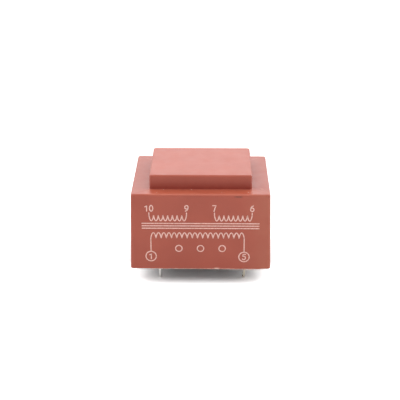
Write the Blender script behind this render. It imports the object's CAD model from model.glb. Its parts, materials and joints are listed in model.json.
import json
import math

import bmesh
import bpy
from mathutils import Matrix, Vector, noise

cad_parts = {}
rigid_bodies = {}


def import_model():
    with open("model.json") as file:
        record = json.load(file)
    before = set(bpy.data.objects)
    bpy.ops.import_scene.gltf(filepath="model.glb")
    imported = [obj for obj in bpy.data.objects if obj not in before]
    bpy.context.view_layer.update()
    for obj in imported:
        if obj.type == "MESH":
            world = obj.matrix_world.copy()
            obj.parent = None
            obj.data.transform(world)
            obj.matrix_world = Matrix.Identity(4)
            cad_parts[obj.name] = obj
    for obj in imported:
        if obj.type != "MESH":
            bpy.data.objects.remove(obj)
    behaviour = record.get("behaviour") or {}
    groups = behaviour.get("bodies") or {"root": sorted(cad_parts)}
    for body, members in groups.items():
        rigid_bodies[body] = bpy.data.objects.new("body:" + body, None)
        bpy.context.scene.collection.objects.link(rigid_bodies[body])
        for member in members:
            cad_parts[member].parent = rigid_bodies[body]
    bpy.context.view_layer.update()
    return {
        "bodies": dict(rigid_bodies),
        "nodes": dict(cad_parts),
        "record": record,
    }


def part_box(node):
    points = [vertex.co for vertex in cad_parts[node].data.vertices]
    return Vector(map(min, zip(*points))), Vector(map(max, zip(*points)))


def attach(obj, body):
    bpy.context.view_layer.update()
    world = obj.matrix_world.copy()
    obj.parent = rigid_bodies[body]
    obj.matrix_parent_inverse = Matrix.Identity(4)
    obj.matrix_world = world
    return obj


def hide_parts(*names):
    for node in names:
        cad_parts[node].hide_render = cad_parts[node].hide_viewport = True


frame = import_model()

MM = 0.001

# ---- sizes, in millimetres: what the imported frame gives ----

CASE_LO, CASE_HI = [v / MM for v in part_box("case")]
PIN_LO, PIN_HI = [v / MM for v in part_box("pin_1")]
CASE_W = CASE_HI.x - CASE_LO.x
CASE_D = CASE_HI.y - CASE_LO.y
TOP_Z = CASE_HI.z
FLOOR_Z = PIN_LO.z

# ---- sizes, in millimetres: the forms of the case ----

SHOULDER_Z = 18.4
CROWN_W = 23.6
CROWN_D = 19.7
CROWN_SHIFT = -0.15
WALL = 0.8
DRAFT = math.tan(math.radians(1.05))
CORNER_R = 0.6
EDGE_R = 0.45
RIM_R = 0.2
FOOT_FILLET = 0.12
INNER_R = 0.3
ARC_STEPS = 8

# ---- sizes, in millimetres: pins and resin ----

PIN_NUMBERS = (1, 5, 6, 7, 9, 10)
PIN_PITCH = 5.0
ROW_Y = 10.0
PIN_R = 0.35
PIN_SIDES = 28
TIP_LENGTH = 0.7
TIP_R = 0.15
RESIN_Z = 0.3

CENTRE_PIN = 3
REAR_SUM = 16

# ---- print, in millimetres ----

LINE_W = 0.25
LEAD_GAP = 0.42
INK_PROUD = 0.015
INK_SUNK = 0.01
NUMBER_ROW_Z = 15.05
NUMBER_H = 1.4
SECONDARY_Z = 12.65
SECONDARY_LOOPS = 8
COIL_H = 1.3
COIL_OUTER_X = 11.8
COIL_INNER_X = 3.2
CORE_LINES_Z = (11.35, 10.75, 10.15)
PRINT_HALF_W = 13.4
PRIMARY_Z = 8.4
PRIMARY_LOOPS = 18
CIRCLED = {1: (-11.44, 3.18), 5: (10.07, 3.06)}
CIRCLE_R = 1.2
CIRCLED_H = 1.35
BLANK_PLACES = (2, 3, 4)
BLANK_Z = 5.15
BLANK_R = 0.75

# ---- small marks, in millimetres ----

# crumbs: x, y, z, length and width
FLECKS = (
    (-8.5, -10.25, 18.42, 0.2, 0.16), (-2.1, -10.25, 18.42, 0.24, 0.18), (-10.0, -12.2, 18.40, 0.22, 0.18),
    (4.8, -11.9, 18.40, 0.2, 0.16), (10.9, -11.9, 18.40, 0.24, 0.2), (14.0, -9.8, 18.40, 0.9, 0.16),
)
BLISTER_X = 3.74
BLISTER_W = 1.2
FLASH_Z = 0.03
FLASH_R = 0.07
FLASH_SAG = 0.1
FLASH_STEP = 0.25
SMUDGE_X = 8.6
SMUDGE_HALF_W = 1.15
SMUDGE_Z = 17.85
SMUDGE_HALF_H = 0.3
PALE_END = (9.0, 14.5)
FRONT_WALL = (0.75 - CASE_D / 2, 0.5 - CASE_D / 2)
CROWN_FRONT = CROWN_SHIFT - CROWN_D / 2

# ---- light: places and sizes in metres, powers in watts, fitted to the tones of the photograph ----

SKY_LIGHT = 0.41
SEEN_SKY = 1.0
MIDDLE = (0, 0, 0)
TOP_Y = -0.2
TOP_Z_M = 0.8
TOP_SIZE = 1.2
TOP_WATTS = 3.9
BACK_PLACE = (0, 1.0, 0.7)
BACK_SIZE = (2.4, 0.9)
BACK_WATTS = 12.3
SIDE_X = 1.0
SIDE_Z = 0.8
SIDE_SIZE = (1.6, 0.8)
SIDE_WATTS = 7.0
FLOOR_HALF = 3000
FLOOR_WHITE = 0.92
BEHIND_WHITE = 0.28
# where the floor's second sheet starts and where it is full, in millimetres along Y
SECOND_SHEET = (-1.0, -5.0)

# ---- camera: place in millimetres, angles in degrees, from the fit to the case edges ----

CAMERA_PLACE = (2.73, -234.24, 105.23)
CAMERA_PITCH = 21.753
CAMERA_ROLL = 0.03
CAMERA_YAW = 0.725
CAMERA_LENS = 94.25
CAMERA_SENSOR = 36
CAMERA_CLIP = (0.01, 20)

# ---- case plastic ----

RED = 0.37
GREEN = 0.069
BLUE = 0.038
PLASTIC_IOR = 1.5
GLOSS_LOW = 0.38
GLOSS_SPAN = 0.07
INK = (0.88, 0.57, 0.51)


def pin_place(n):
    """Place of pin n in its row grid: 1 to 5 along the front, 6 to 10 back along the rear."""
    along = n - CENTRE_PIN if n <= 5 else REAR_SUM / 2 - n
    return along * PIN_PITCH, -ROW_Y if n <= 5 else ROW_Y


# ---- mesh helpers ----

def make_object(name, bm, sharp_deg=35, weighted=True):
    """Turns a bmesh in millimetres into a smooth-shaded object in metres."""
    bmesh.ops.recalc_face_normals(bm, faces=bm.faces)
    bmesh.ops.scale(bm, vec=(MM, MM, MM), verts=bm.verts)
    mesh = bpy.data.meshes.new(name)
    bm.to_mesh(mesh)
    bm.free()
    mesh.polygons.foreach_set("use_smooth", [True] * len(mesh.polygons))
    mesh.set_sharp_from_angle(angle=math.radians(sharp_deg))
    obj = bpy.data.objects.new(name, mesh)
    bpy.context.scene.collection.objects.link(obj)
    if weighted:
        modifier = obj.modifiers.new("flat_faces", "WEIGHTED_NORMAL")
        modifier.keep_sharp = True
    return obj


def add_ring(bm, points):
    return [bm.verts.new(p) for p in points]


def bridge(bm, low, high):
    count = len(low)
    for i in range(count):
        j = (i + 1) % count
        bm.faces.new((low[i], low[j], high[j], high[i]))


def loft(bm, rings):
    """Closed skin through rings of equally many points, with both ends capped."""
    made = [add_ring(bm, ring) for ring in rings]
    for low, high in zip(made, made[1:]):
        bridge(bm, low, high)
    bm.faces.new(made[0])
    bm.faces.new(made[-1])


def rounded_ring(half_x, half_y, radius, z, shift_y=0.0):
    """Rounded rectangle at height z, counter-clockwise seen from above."""
    points = []
    for quarter, (sx, sy) in enumerate(((1, 1), (-1, 1), (-1, -1), (1, -1))):
        for step in range(ARC_STEPS + 1):
            angle = math.pi / 2 * (quarter + step / ARC_STEPS)
            points.append((
                sx * (half_x - radius) + radius * math.cos(angle),
                shift_y + sy * (half_y - radius) + radius * math.sin(angle),
                z,
            ))
    return points


def quarter_turn(steps=ARC_STEPS):
    """Sine and cosine along a quarter circle, for the profiles of rounded edges."""
    for step in range(steps + 1):
        angle = math.pi / 2 * step / steps
        yield math.sin(angle), math.cos(angle)


# ---- case ----

def case_outside():
    """Rings from the rim up the drafted wall, over the shoulder and up to the roof of the crown."""
    rings = []
    for sine, cosine in quarter_turn():
        inset = RIM_R * (1 - sine)
        rings.append(rounded_ring(
            CASE_W / 2 - inset, CASE_D / 2 - inset, CORNER_R - inset, RIM_R * (1 - cosine)))
    top_inset = (SHOULDER_Z - EDGE_R) * DRAFT
    for sine, cosine in quarter_turn():
        inset = top_inset + EDGE_R * (1 - cosine)
        rings.append(rounded_ring(
            CASE_W / 2 - inset, CASE_D / 2 - inset, CORNER_R - EDGE_R * (1 - cosine),
            SHOULDER_Z - EDGE_R * (1 - sine)))
    for sine, cosine in quarter_turn(4):
        out = FOOT_FILLET * (1 - sine)
        rings.append(rounded_ring(
            CROWN_W / 2 + out, CROWN_D / 2 + out, CORNER_R + out,
            SHOULDER_Z + FOOT_FILLET * (1 - cosine), CROWN_SHIFT))
    for sine, cosine in quarter_turn():
        inset = EDGE_R * (1 - cosine)
        rings.append(rounded_ring(
            CROWN_W / 2 - inset, CROWN_D / 2 - inset, CORNER_R - inset,
            TOP_Z - EDGE_R * (1 - sine), CROWN_SHIFT))
    return rings


def case_inside():
    """Rings from the roof of the cavity down to the rim."""
    crown = [
        rounded_ring(CROWN_W / 2 - WALL, CROWN_D / 2 - WALL, INNER_R, z, CROWN_SHIFT)
        for z in (TOP_Z - WALL, SHOULDER_Z - WALL)
    ]
    top_inset = (SHOULDER_Z - WALL) * DRAFT + WALL
    body = [
        rounded_ring(CASE_W / 2 - inset, CASE_D / 2 - inset, INNER_R, z)
        for inset, z in ((top_inset, SHOULDER_Z - WALL), (WALL, RIM_R))
    ]
    for sine, cosine in quarter_turn(4):
        inset = WALL - RIM_R / 2 * (1 - cosine)
        body.append(rounded_ring(
            CASE_W / 2 - inset, CASE_D / 2 - inset, INNER_R, RIM_R / 2 * (1 - sine)))
    return crown + body


def make_case():
    bm = bmesh.new()
    loft(bm, case_inside() + case_outside())
    shell = make_object("case_shell", bm)
    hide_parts("case")
    return shell


# ---- pins ----

# each pin's bend just below the resin, then the lean of its tip: x and y, in millimetres
PIN_SET = {
    1: ((0.36, 0.0), (0.08, 0.0)),
    5: ((0.42, 0.0), (-0.35, -0.05)),
    6: ((0.04, 0.02), (0.06, 0.0)),
    7: ((-0.06, 0.0), (-0.05, 0.05)),
    9: ((0.05, 0.04), (0.0, 0.08)),
    10: ((-0.08, 0.0), (-0.04, -0.04)),
}
BEND_LENGTH = 1.3


def pin_profile():
    """Height and radius pairs from the top of the root down to the end of the tip."""
    root_r = (PIN_HI.x - PIN_LO.x) / 2
    pairs = [(PIN_HI.z, root_r), (RESIN_Z, root_r), (RESIN_Z - 0.03, PIN_R)]
    shank_end = FLOOR_Z + TIP_LENGTH
    for k in range(1, 17):
        pairs.append((RESIN_Z - 0.03 + (shank_end - RESIN_Z) * k / 16, PIN_R))
    for sine, cosine in quarter_turn(6):
        pairs.append((
            shank_end - 0.02 - (TIP_LENGTH - 0.06) * sine * 0.98,
            TIP_R + (PIN_R - TIP_R) * cosine))
    pairs.append((FLOOR_Z, TIP_R * 0.6))
    return pairs


def pin_offset(n, z):
    """How far pin n stands off its grid place at height z."""
    (bend_x, bend_y), (lean_x, lean_y) = PIN_SET[n]
    below = max(0.0, RESIN_Z - z)
    t = min(1.0, below / BEND_LENGTH)
    bend = t * t * (3 - 2 * t)
    lean = (below / (RESIN_Z - FLOOR_Z)) ** 2
    return bend_x * bend + lean_x * lean, bend_y * bend + lean_y * lean


def make_pin(n):
    x, y = pin_place(n)
    rings = []
    for z, radius in pin_profile():
        off_x, off_y = pin_offset(n, z)
        rings.append([
            (x + off_x + radius * math.cos(2 * math.pi * k / PIN_SIDES),
             y + off_y + radius * math.sin(2 * math.pi * k / PIN_SIDES), z)
            for k in range(PIN_SIDES)
        ])
    bm = bmesh.new()
    loft(bm, rings)
    pin = make_object(f"tinned_pin_{n}", bm, 50, False)
    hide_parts(f"pin_{n}")
    return pin


# ---- resin ----

def graded(half):
    """Coordinates from -half to half, close together near the walls."""
    near = [half - 0.06 * k for k in range(14)]
    inner = near[-1]
    count = round(2 * inner / 0.22)
    middle = [-inner + 2 * inner * k / count for k in range(1, count)]
    return sorted([-v for v in near] + middle + near)


def resin_height(x, y, half_x, half_y):
    wall = min(half_x - abs(x), half_y - abs(y))
    climb = 0.2 * math.exp(-(wall / 0.3) ** 2)
    wave = 0.03 * noise.noise(Vector((x / 4, y / 4, 3.1)))
    fine = 0.006 * noise.noise(Vector((x / 0.7, y / 0.7, 7.7)))
    return RESIN_Z - 0.04 - climb + wave + fine


def make_resin():
    """The free surface of the potting, with its climb at the walls and a collar at each pin."""
    half_x = CASE_W / 2 - WALL + 0.02
    half_y = CASE_D / 2 - WALL + 0.02
    xs, ys = graded(half_x), graded(half_y)
    bm = bmesh.new()
    face_z = RESIN_Z + 0.03
    low = [[bm.verts.new((x, y, resin_height(x, y, half_x, half_y))) for x in xs] for y in ys]
    for j in range(len(ys) - 1):
        for i in range(len(xs) - 1):
            bm.faces.new((low[j][i], low[j][i + 1], low[j + 1][i + 1], low[j + 1][i]))
    border = (low[0][:-1] + [row[-1] for row in low[:-1]] + low[-1][:0:-1]
              + [row[0] for row in low[:0:-1]])
    top = [bm.verts.new((v.co.x, v.co.y, face_z)) for v in border]
    bridge(bm, border, top)
    bm.faces.new(top)
    for n in PIN_NUMBERS:
        x, y = pin_place(n)
        rings = []
        for sine, cosine in quarter_turn(8):
            radius = PIN_R + 0.005 + 0.75 * (1 - sine) ** 1.5
            z = RESIN_Z + 0.02 - 0.3 * (1 - cosine)
            rings.append([
                (x + radius * math.cos(2 * math.pi * k / PIN_SIDES),
                 y + radius * math.sin(2 * math.pi * k / PIN_SIDES), z)
                for k in range(PIN_SIDES)
            ])
        loft(bm, rings)
    return make_object("resin_surface", bm, 40, False)


# ---- print on the front: a plain winding diagram with pin numbers ----

def front_point(x, z, out):
    """Point on the drafted front wall, at the given distance in front of it."""
    return x, z * DRAFT - CASE_D / 2 - out, z


def direction(first, second):
    dx, dz = second[0] - first[0], second[1] - first[1]
    length = math.hypot(dx, dz)
    return dx / length, dz / length


def rounded_ends(points):
    """Points of an open stroke with their half widths, which close in a half circle at both ends."""
    half = LINE_W / 2
    path = [(point, half) for point in points]
    for end, inner in ((points[0], points[1]), (points[-1], points[-2])):
        dx, dz = direction(inner, end)
        cap = []
        for degrees in (35, 62, 80):
            reach = half * math.sin(math.radians(degrees))
            point = (end[0] + dx * reach, end[1] + dz * reach)
            cap.append((point, half * math.cos(math.radians(degrees))))
        path = path + cap if end is points[-1] else cap[::-1] + path
    return path


def stroke(bm, points, closed=False):
    """Flat line of ink along points (x, z) on the front wall."""
    path = [(point, LINE_W / 2) for point in points] if closed else rounded_ends(points)
    count = len(path)
    rings = []
    for i, ((x, z), half) in enumerate(path):
        before = path[i - 1][0] if closed or i > 0 else (x, z)
        after = path[(i + 1) % count][0] if closed or i < count - 1 else (x, z)
        dx, dz = direction(before, after)
        across = (-dz, dx)
        ring = []
        for side, out in ((1, -INK_SUNK), (0.86, INK_PROUD), (-0.86, INK_PROUD), (-1, -INK_SUNK)):
            ring.append(bm.verts.new(front_point(
                x + across[0] * half * side, z + across[1] * half * side, out)))
        rings.append(ring)
    for low, high in zip(rings, rings[1:] + rings[:1] if closed else rings[1:]):
        bridge(bm, low, high)
    if not closed:
        bm.faces.new(rings[0])
        bm.faces.new(rings[-1])


def arc(centre, radius_x, radius_z, start_deg, end_deg, steps=20):
    return [
        (centre[0] + radius_x * math.cos(math.radians(start_deg + (end_deg - start_deg) * k / steps)),
         centre[1] + radius_z * math.sin(math.radians(start_deg + (end_deg - start_deg) * k / steps)))
        for k in range(steps + 1)
    ]


def circle(bm, centre, radius):
    stroke(bm, arc(centre, radius, radius, 0, 360, 40)[:-1], closed=True)


def digit_strokes(digit):
    """Lines of a plain digit in a box 0.6 wide and 1 high, as lists of points and whether closed."""
    return {
        "0": [(arc((0.3, 0.5), 0.27, 0.5, 0, 360, 28)[:-1], True)],
        "1": [([(0.08, 0.76), (0.22, 0.84), (0.34, 1.0), (0.34, 0.0)], False)],
        "5": [([(0.54, 1.0), (0.14, 1.0), (0.08, 0.53)] + arc((0.28, 0.32), 0.28, 0.32, 118, -145), False)],
        "6": [(arc((0.3, 0.31), 0.27, 0.31, 0, 360, 24)[:-1], True),
              (arc((0.56, 0.36), 0.53, 0.62, 172, 100, 10), False)],
        "7": [([(0.03, 1.0), (0.57, 1.0), (0.38, 0.6), (0.22, 0.0)], False)],
        "9": [(arc((0.3, 0.69), 0.27, 0.31, 0, 360, 24)[:-1], True),
              (arc((0.04, 0.64), 0.53, 0.62, -8, -80, 10), False)],
    }[digit]


def number(bm, value, centre, height):
    """Plain number, centred."""
    text = str(value)
    advance = 0.78 * height
    left = centre[0] - advance * (len(text) - 1) / 2 - 0.3 * height
    for place, digit in enumerate(text):
        for points, closed in digit_strokes(digit):
            stroke(bm, [
                (left + place * advance + u * height, centre[1] + (v - 0.5) * height)
                for u, v in points
            ], closed)


def coil(bm, start, end, z, loops, height):
    """Row of round loops from start to end, drawn as one flowing line."""
    steps = 20
    pitch = (end - start) / loops
    points = []
    for k in range(loops * steps + 1):
        turn = 2 * math.pi * k / steps
        points.append((
            start + pitch * turn / (2 * math.pi) - 0.12 * pitch * math.sin(turn),
            z - height / 2 * math.cos(turn)))
    stroke(bm, points)


def lead(bm, x, low, high):
    stroke(bm, [(x, low), (x, high)])


def make_print():
    """Two secondary windings above, the core in the middle and the primary winding below."""
    bm = bmesh.new()
    number_foot = NUMBER_ROW_Z - NUMBER_H / 2
    coils = (((10, 9), -COIL_OUTER_X, -COIL_INNER_X), ((7, 6), COIL_INNER_X, COIL_OUTER_X))
    for numbers, left, right in coils:
        coil(bm, left, right, SECONDARY_Z, SECONDARY_LOOPS, -COIL_H)
        for n, x in zip(numbers, (left, right)):
            number(bm, n, (x, NUMBER_ROW_Z), NUMBER_H)
            lead(bm, x, SECONDARY_Z + COIL_H / 2, number_foot - LEAD_GAP)
    for z in CORE_LINES_Z:
        stroke(bm, [(-PRINT_HALF_W, z), (PRINT_HALF_W, z)])
    coil(bm, CIRCLED[1][0], CIRCLED[5][0], PRIMARY_Z, PRIMARY_LOOPS, COIL_H)
    for n, (x, z) in CIRCLED.items():
        circle(bm, (x, z), CIRCLE_R)
        number(bm, n, (x, z), CIRCLED_H)
        lead(bm, x, z + CIRCLE_R + LEAD_GAP / 2, PRIMARY_Z - COIL_H / 2)
    for n in BLANK_PLACES:
        circle(bm, (pin_place(n)[0], BLANK_Z), BLANK_R)
    return make_object("winding_diagram", bm, 30, False)


# ---- small marks of the photographed specimen ----

def add_lump(bm, centre, half_sizes, seed):
    """Uneven rounded grain of the given half sizes."""
    for v in bmesh.ops.create_icosphere(bm, subdivisions=3, radius=1)["verts"]:
        lump = 1 + 0.3 * noise.noise(v.co * 1.7 + Vector((seed, seed, seed)))
        v.co = Vector([c + v.co[i] * half_sizes[i] * lump for i, c in enumerate(centre)])


def make_flecks():
    """Pale crumbs on the shoulder and at the foot of the crown."""
    bm = bmesh.new()
    for x, y, z, length, width in FLECKS:
        add_lump(bm, (x, y, z), (length / 2, width / 2, width / 2.5), x)
    return make_object("flecks", bm, 60, False)


def make_rim_flash():
    """Thin uneven bead that the moulding left along the lower front edge, with one blister."""
    bm = bmesh.new()
    half = CASE_W / 2 - CORNER_R
    count = round(2 * half / FLASH_STEP)
    rings = []
    for k in range(count + 1):
        x = -half + 2 * half * k / count
        along = (x + half) / (2 * half)
        ends = min(1.0, 12 * along, 12 * (1 - along))
        swell = 0.6 + 0.7 * along + 0.5 * noise.noise(Vector((x / 1.3, 0.4, 2.2)))
        radius = FLASH_R * max(0.12, ends * swell)
        droop = 0.05 * noise.noise(Vector((x / 3.1, 5.5, 0.7))) - FLASH_SAG * along ** 2
        rings.append([
            (x, RIM_R * 0.35 - CASE_D / 2 + radius * math.cos(turn),
             FLASH_Z + droop + radius * math.sin(turn))
            for turn in [2 * math.pi * side / 10 for side in range(10)]
        ])
    loft(bm, rings)
    add_lump(bm, (BLISTER_X, 0.03 - CASE_D / 2, 0.16), (BLISTER_W / 2, 0.07, 0.16), 4)
    return make_object("rim_flash", bm, 60, False)


def make_tip_residue():
    """Dark residue around the tip of pin 5."""
    bm = bmesh.new()
    x, y = pin_place(5)
    for down, side, size in ((3.4, -0.14, 0.3), (3.66, -0.04, 0.26), (2.75, -0.24, 0.2)):
        off_x, off_y = pin_offset(5, -down)
        add_lump(bm, (x + off_x + side, y + off_y - 0.05, -down), (size, size * 0.9, size * 0.8), down)
    return make_object("tip_residue", bm, 60, False)


# ---- materials ----

class Net:
    """A small helper around one material's node tree, with a Principled shader at its end."""

    def __init__(self, name):
        self.material = bpy.data.materials.new(name)
        self.material.use_nodes = True
        self.tree = self.material.node_tree
        self.tree.nodes.clear()
        output = self.add("ShaderNodeOutputMaterial")
        self.shader = self.add("ShaderNodeBsdfPrincipled")
        self.link(self.shader.outputs["BSDF"], output.inputs["Surface"])
        self.place = self.add("ShaderNodeTexCoord").outputs["Object"]

    def add(self, kind):
        return self.tree.nodes.new(kind)

    def link(self, source, target):
        self.tree.links.new(source, target)

    def set(self, **values):
        for name, value in values.items():
            self.shader.inputs[name.replace("_", " ")].default_value = value

    def noise(self, size_mm, detail=3.0, rough=0.5, stretch=None):
        """Noise whose features are about size_mm across."""
        node = self.add("ShaderNodeTexNoise")
        node.inputs["Scale"].default_value = 1 / (size_mm * MM)
        node.inputs["Detail"].default_value = detail
        node.inputs["Roughness"].default_value = rough
        source = self.place
        if stretch:
            mapping = self.add("ShaderNodeMapping")
            mapping.inputs["Scale"].default_value = stretch
            self.link(source, mapping.inputs["Vector"])
            source = mapping.outputs["Vector"]
        self.link(source, node.inputs["Vector"])
        return node.outputs["Fac"]

    def axes(self):
        """The object coordinate of a point, by axis."""
        split = self.add("ShaderNodeSeparateXYZ")
        self.link(self.place, split.inputs["Vector"])
        return split.outputs

    def span(self, value, low, high, to_low=0.0, to_high=1.0):
        """Maps value from low..high to to_low..to_high, clamped."""
        node = self.add("ShaderNodeMapRange")
        for name, number in (("From Min", low), ("From Max", high),
                             ("To Min", to_low), ("To Max", to_high)):
            node.inputs[name].default_value = number
        self.link(value, node.inputs["Value"])
        return node.outputs["Result"]

    def blend(self, factor, first, second):
        """Mixes two colours; each is a tuple or the output of a node."""
        node = self.add("ShaderNodeMix")
        node.data_type = "RGBA"
        self.link(factor, node.inputs["Factor"])
        for socket, value in ((node.inputs[6], first), (node.inputs[7], second)):
            if isinstance(value, tuple):
                socket.default_value = (*value, 1)
            else:
                self.link(value, socket)
        return node.outputs[2]

    def math(self, operation, first, second):
        node = self.add("ShaderNodeMath")
        node.operation = operation
        for socket, value in zip(node.inputs, (first, second)):
            if isinstance(value, (int, float)):
                socket.default_value = value
            else:
                self.link(value, socket)
        return node.outputs[0]

    def bump(self, height, depth_mm, normal=None):
        """Bump of the given real depth, on top of an earlier one."""
        node = self.add("ShaderNodeBump")
        node.inputs["Distance"].default_value = depth_mm * MM
        self.link(height, node.inputs["Height"])
        if normal:
            self.link(normal, node.inputs["Normal"])
        return node.outputs["Normal"]

    def finish(self, colour=None, roughness=None, normal=None):
        for name, source in (("Base Color", colour), ("Roughness", roughness), ("Normal", normal)):
            if source:
                self.link(source, self.shader.inputs[name])
        return self.material


def zone(net, **ramps):
    """Product of ramps along the axes; each ramp gives where it is 0 and where it is 1, in millimetres."""
    axes = net.axes()
    mask = None
    for axis, (zero, one) in ramps.items():
        ramp = net.span(axes[axis], zero * MM, one * MM)
        mask = net.math("MULTIPLY", mask, ramp) if mask else ramp
    return mask


def patch(net, axis, centre, half):
    """1 at the centre of a patch, 0 from its half size outwards, in millimetres."""
    away = net.math("ABSOLUTE", net.math("SUBTRACT", net.axes()[axis], centre * MM), 0)
    return net.span(away, half * MM, 0.4 * half * MM)


def smudge(net):
    """Mask of the dirty patch at the upper edge of the front."""
    ragged = net.span(net.noise(0.5, 4, 0.65), 0.3, 0.65, 0.3, 1)
    mask = net.math("MULTIPLY", patch(net, "X", SMUDGE_X, SMUDGE_HALF_W),
                    patch(net, "Z", SMUDGE_Z, SMUDGE_HALF_H))
    mask = net.math("MULTIPLY", mask, zone(net, Y=FRONT_WALL))
    return net.math("MULTIPLY", mask, ragged)


def pale_end(net):
    """Mask of the paler right-hand end of the front; this may be light and not colour."""
    mask = zone(net, X=PALE_END, Y=FRONT_WALL)
    return net.math("MULTIPLY", mask, net.span(net.noise(4, 3), 0.25, 0.7, 0.35, 0.9))


def rubbed_ledge(net):
    """Mask of the paler ledge in front of the crown; in the photograph this may be light and not wear."""
    mask = zone(net, Y=(CROWN_FRONT - 0.05, CROWN_FRONT - 0.5), Z=(SHOULDER_Z - 0.3, SHOULDER_Z - 0.1))
    between = net.span(net.math("ABSOLUTE", net.axes()["X"], 0), 14 * MM, 11 * MM)
    mask = net.math("MULTIPLY", mask, between)
    return net.math("MULTIPLY", mask, net.span(net.noise(1.5, 3), 0.2, 0.7, 0.5, 0.9))


def foot_grime(net):
    """Mask of the darker foot of the crown's front; in the photograph this may be shade and not dirt."""
    mask = zone(net, Y=(CROWN_FRONT + 0.3, CROWN_FRONT + 0.1), Z=(SHOULDER_Z + 2.6, SHOULDER_Z + 0.1))
    ledge = zone(net, Z=(SHOULDER_Z + 0.02, SHOULDER_Z + 0.1))
    return net.math("MULTIPLY", mask, net.math("MULTIPLY", ledge, net.span(
        net.noise(1.2, 3), 0.2, 0.7, 0.6, 0.95)))


def side_haze(net):
    """Mask of the duller shoulders at both sides of the crown; this may be light and not colour."""
    away = net.math("ABSOLUTE", net.axes()["X"], 0)
    beside = net.span(away, CROWN_W / 2 * MM, (CROWN_W / 2 + 0.2) * MM)
    return net.math("MULTIPLY", beside, zone(
        net, Y=(CROWN_FRONT - 3, CROWN_FRONT + 1), Z=(SHOULDER_Z - 0.4, SHOULDER_Z - 0.1)))


def case_plastic():
    net = Net("case_plastic")
    cloud = net.span(net.noise(7, 2), 0.35, 0.65)
    grain = net.noise(0.12, 2)
    colour = net.blend(
        cloud, (RED * 0.96, GREEN * 0.94, BLUE * 0.94), (RED * 1.03, GREEN * 1.04, BLUE * 1.04))
    colour = net.blend(
        net.span(grain, 0.35, 0.75, 0, 0.2), colour, (RED * 1.12, GREEN * 1.4, BLUE * 1.4))
    roughness = net.span(
        net.noise(2.5, 4, 0.6), 0.3, 0.7, GLOSS_LOW, GLOSS_LOW + GLOSS_SPAN)
    for mask, tint in ((side_haze, (0.88, 0.9, 0.9)), (rubbed_ledge, (1.25, 1.6, 1.6)),
                       (foot_grime, (0.72, 0.55, 0.6)), (pale_end, (1.1, 1.5, 1.55)),
                       (smudge, (0.45, 0.6, 0.6))):
        colour = net.blend(mask(net), colour, (RED * tint[0], GREEN * tint[1], BLUE * tint[2]))
    normal = net.bump(net.noise(5, 1), 0.012)
    normal = net.bump(grain, 0.0006, normal)
    net.set(IOR=PLASTIC_IOR)
    return net.finish(colour, roughness, normal)


def print_ink():
    """Thin pale ink, a little worn."""
    net = Net("print_ink")
    worn = net.span(net.noise(0.25, 3, 0.6), 0.45, 0.75)
    colour = net.blend(worn, INK, (RED * 1.4, GREEN * 4, BLUE * 5))
    return net.finish(colour, net.span(worn, 0, 1, 0.45, 0.6), net.bump(worn, 0.004))


def crumb():
    net = Net("crumb")
    tone = net.span(net.noise(0.1, 3), 0.35, 0.65)
    colour = net.blend(tone, (0.62, 0.33, 0.25), (0.78, 0.52, 0.43))
    return net.finish(colour, net.span(tone, 0, 1, 0.5, 0.7), net.bump(tone, 0.01))


def scuffed_plastic():
    """The case plastic where it is thin and rubbed pale."""
    net = Net("scuffed_plastic")
    tone = net.span(net.noise(0.5, 3, 0.6), 0.35, 0.65)
    colour = net.blend(tone, (0.6, 0.28, 0.22), (0.85, 0.58, 0.5))
    return net.finish(colour, net.span(tone, 0, 1, 0.45, 0.65), net.bump(tone, 0.006))


def residue():
    net = Net("residue")
    tone = net.span(net.noise(0.25, 4, 0.65), 0.35, 0.65)
    colour = net.blend(tone, (0.2, 0.185, 0.15), (0.4, 0.37, 0.3))
    return net.finish(colour, net.span(tone, 0, 1, 0.5, 0.8), net.bump(tone, 0.02))


def resin():
    net = Net("potting_resin")
    colour = net.blend(net.span(net.noise(1.5, 4), 0.4, 0.6), (0.018, 0.017, 0.017), (0.03, 0.028, 0.027))
    roughness = net.span(net.noise(3, 3), 0.3, 0.7, 0.22, 0.4)
    normal = net.bump(net.noise(0.8, 3), 0.01)
    return net.finish(colour, roughness, normal)


def tin(name, bright, dull, metallic):
    """Solder-dipped wire: frosty patches over a smoother ground."""
    net = Net(name)
    patch = net.span(net.noise(0.5, 4, 0.6, (1, 1, 0.4)), 0.4, 0.62)
    colour = net.blend(patch, bright, dull)
    roughness = net.span(net.noise(0.3, 3), 0.3, 0.7, 0.3, 0.45)
    normal = net.bump(net.noise(0.18, 2), 0.004)
    net.set(Metallic=metallic)
    return net.finish(colour, roughness, normal)


def tinned_wire():
    return tin("tinned_wire", (0.97, 0.96, 0.93), (0.88, 0.87, 0.84), 1.0)


def stained_tin():
    return tin("stained_tin", (0.9, 0.84, 0.72), (0.72, 0.66, 0.55), 0.6)


def core_steel():
    net = Net("core_steel")
    brushed = net.noise(0.3, 3, 0.5, (1, 0.06, 1))
    colour = net.blend(net.span(brushed, 0.35, 0.65), (0.36, 0.365, 0.375), (0.47, 0.47, 0.465))
    roughness = net.span(brushed, 0.3, 0.7, 0.32, 0.5)
    net.set(Metallic=1.0)
    return net.finish(colour, roughness, net.bump(brushed, 0.003))


def bobbin_plastic():
    net = Net("bobbin_plastic")
    fibre = net.noise(0.2, 3, 0.6, (1, 0.25, 1))
    colour = net.blend(net.span(fibre, 0.4, 0.7), (0.016, 0.016, 0.018), (0.035, 0.035, 0.037))
    return net.finish(colour, net.span(fibre, 0.3, 0.7, 0.42, 0.6), net.bump(fibre, 0.004))


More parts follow.
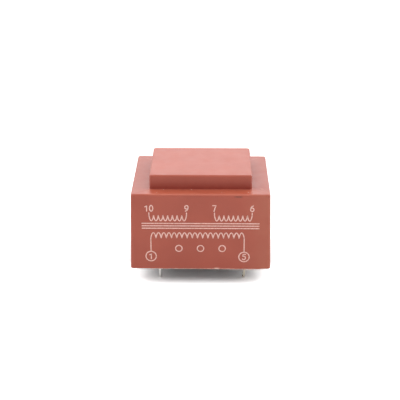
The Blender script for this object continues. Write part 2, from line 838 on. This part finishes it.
def enamelled_wire():
    net = Net("enamelled_wire")
    phase = net.math("MULTIPLY", net.axes()["Y"], 2 * math.pi / (0.16 * MM))
    turns = net.math("ABSOLUTE", net.math("SINE", phase, 0), 0)
    tint = net.span(net.noise(0.6, 3), 0.35, 0.65)
    colour = net.blend(tint, (0.42, 0.13, 0.045), (0.55, 0.20, 0.07))
    net.set(Metallic=0.75, Coat_Weight=0.6, Coat_Roughness=0.12)
    return net.finish(colour, net.span(tint, 0, 1, 0.28, 0.4), net.bump(turns, 0.05))


def tape():
    net = Net("tape")
    crease = net.noise(1.2, 3, 0.6, (1, 0.3, 1))
    colour = net.blend(net.span(crease, 0.35, 0.7), (0.80, 0.56, 0.07), (0.86, 0.66, 0.14))
    net.set(Coat_Weight=0.3, Coat_Roughness=0.15)
    return net.finish(colour, net.span(crease, 0.3, 0.7, 0.25, 0.4), net.bump(crease, 0.02))


def floor_white():
    """White floor. In front, the camera sees its own light twice over, so that it is plain white
    past the shadow; the object itself gets only the plain floor's light. From below it is clear,
    so that the underside can be looked at."""
    net = Net("floor_white")
    net.tree.nodes.remove(net.shader)
    output = net.tree.nodes[0]
    sheets = []
    for _ in range(2):
        sheet = net.add("ShaderNodeBsdfDiffuse")
        sheet.inputs["Color"].default_value = (FLOOR_WHITE, FLOOR_WHITE, FLOOR_WHITE, 1)
        sheets.append(sheet.outputs["BSDF"])
    in_front = net.span(net.axes()["Y"], SECOND_SHEET[0] * MM, SECOND_SHEET[1] * MM)
    net.link(net.blend(in_front, (BEHIND_WHITE,) * 3, (FLOOR_WHITE,) * 3), sheet.inputs["Color"])
    double = net.add("ShaderNodeAddShader")
    net.link(sheets[0], double.inputs[0])
    net.link(sheets[1], double.inputs[1])
    seen = net.add("ShaderNodeLightPath").outputs["Is Camera Ray"]
    choice = net.add("ShaderNodeMixShader")
    net.link(seen, choice.inputs["Fac"])
    net.link(sheets[0], choice.inputs[1])
    net.link(double.outputs["Shader"], choice.inputs[2])
    below = net.math("MULTIPLY", net.add("ShaderNodeNewGeometry").outputs["Backfacing"], seen)
    sided = net.add("ShaderNodeMixShader")
    net.link(below, sided.inputs["Fac"])
    net.link(choice.outputs["Shader"], sided.inputs[1])
    net.link(net.add("ShaderNodeBsdfTransparent").outputs["BSDF"], sided.inputs[2])
    net.link(sided.outputs["Shader"], output.inputs["Surface"])
    return net.material


# ---- stage ----

def make_floor():
    bm = bmesh.new()
    bmesh.ops.create_grid(bm, x_segments=4, y_segments=4, size=FLOOR_HALF)
    bmesh.ops.translate(bm, vec=(0, 0, FLOOR_Z), verts=bm.verts)
    floor = make_object("floor", bm, weighted=False)
    if floor.data.polygons[0].normal.z < 0:
        floor.data.flip_normals()
    floor.data.materials.append(floor_white())


def make_world():
    """White surroundings: full white to the camera and in reflections, softer as light."""
    world = bpy.data.worlds.new("studio")
    bpy.context.scene.world = world
    world.use_nodes = True
    tree = world.node_tree
    path = tree.nodes.new("ShaderNodeLightPath")
    seen = path.outputs["Is Camera Ray"]
    for name in ("Is Glossy Ray", "Is Transmission Ray"):
        either = tree.nodes.new("ShaderNodeMath")
        either.operation = "MAXIMUM"
        tree.links.new(seen, either.inputs[0])
        tree.links.new(path.outputs[name], either.inputs[1])
        seen = either.outputs[0]
    strength = tree.nodes.new("ShaderNodeMapRange")
    strength.inputs["To Min"].default_value = SKY_LIGHT
    strength.inputs["To Max"].default_value = SEEN_SKY
    tree.links.new(seen, strength.inputs["Value"])
    background = tree.nodes["Background"]
    background.inputs["Color"].default_value = (1, 1, 1, 1)
    tree.links.new(strength.outputs["Result"], background.inputs["Strength"])


def area_light(name, place, aim, size, watts):
    light = bpy.data.lights.new(name, "AREA")
    light.shape = "RECTANGLE"
    light.size, light.size_y = size
    light.energy = watts
    lamp = bpy.data.objects.new(name, light)
    lamp.location = place
    lamp.rotation_mode = "QUATERNION"
    lamp.rotation_quaternion = (Vector(aim) - Vector(place)).to_track_quat("-Z", "Y")
    lamp.visible_camera = False
    bpy.context.scene.collection.objects.link(lamp)


def make_lights():
    area_light("top_softbox", (0, TOP_Y, TOP_Z_M), (0, TOP_Y, 0), (TOP_SIZE, TOP_SIZE), TOP_WATTS)
    area_light("back_softbox", BACK_PLACE, MIDDLE, BACK_SIZE, BACK_WATTS)
    for name, side in (("left_softbox", -1), ("right_softbox", 1)):
        area_light(name, (side * SIDE_X, 0, SIDE_Z), MIDDLE, SIDE_SIZE, SIDE_WATTS)


def make_camera():
    """The photograph's viewing angle: from the front, a little to the right, looking down."""
    camera_data = bpy.data.cameras.new("camera")
    camera_data.lens = CAMERA_LENS
    camera_data.sensor_width = CAMERA_SENSOR
    camera_data.clip_start, camera_data.clip_end = CAMERA_CLIP
    camera = bpy.data.objects.new("camera", camera_data)
    camera.location = Vector(CAMERA_PLACE) * MM
    camera.rotation_euler = [
        math.radians(angle) for angle in (90 - CAMERA_PITCH, CAMERA_ROLL, CAMERA_YAW)]
    bpy.context.scene.collection.objects.link(camera)
    bpy.context.scene.camera = camera


# ---- assembly ----

MATERIALS = {
    "case_plastic": case_plastic, "resin": resin, "bobbin_plastic": bobbin_plastic,
    "core_steel": core_steel, "enamelled_wire": enamelled_wire, "tape": tape,
    "tinned_wire": tinned_wire,
}


def dress(obj, material):
    obj.data.materials.clear()
    obj.data.materials.append(material)


def dress_frame(materials):
    """Every CAD node takes the finish of its material slot."""
    for part in frame["record"]["subparts"]:
        dress(frame["nodes"][part["node"]], materials[part["material_slot"]])


def add_piece(obj, material):
    dress(obj, material)
    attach(obj, "root")


def clear_start_scene():
    """Removes what the start-up file holds besides the frame."""
    keep = set(frame["nodes"].values()) | set(frame["bodies"].values())
    for obj in list(bpy.data.objects):
        if obj not in keep:
            bpy.data.objects.remove(obj)


def main():
    clear_start_scene()
    materials = {name: make() for name, make in MATERIALS.items()}
    dress_frame(materials)
    add_piece(make_case(), materials["case_plastic"])
    add_piece(make_print(), print_ink())
    add_piece(make_flecks(), crumb())
    add_piece(make_rim_flash(), scuffed_plastic())
    add_piece(make_resin(), materials["resin"])
    for n in PIN_NUMBERS:
        add_piece(make_pin(n), stained_tin() if n == 5 else materials["tinned_wire"])
    add_piece(make_tip_residue(), residue())
    make_floor()
    make_world()
    make_lights()
    make_camera()
    bpy.context.scene.view_settings.view_transform = "Standard"


main()
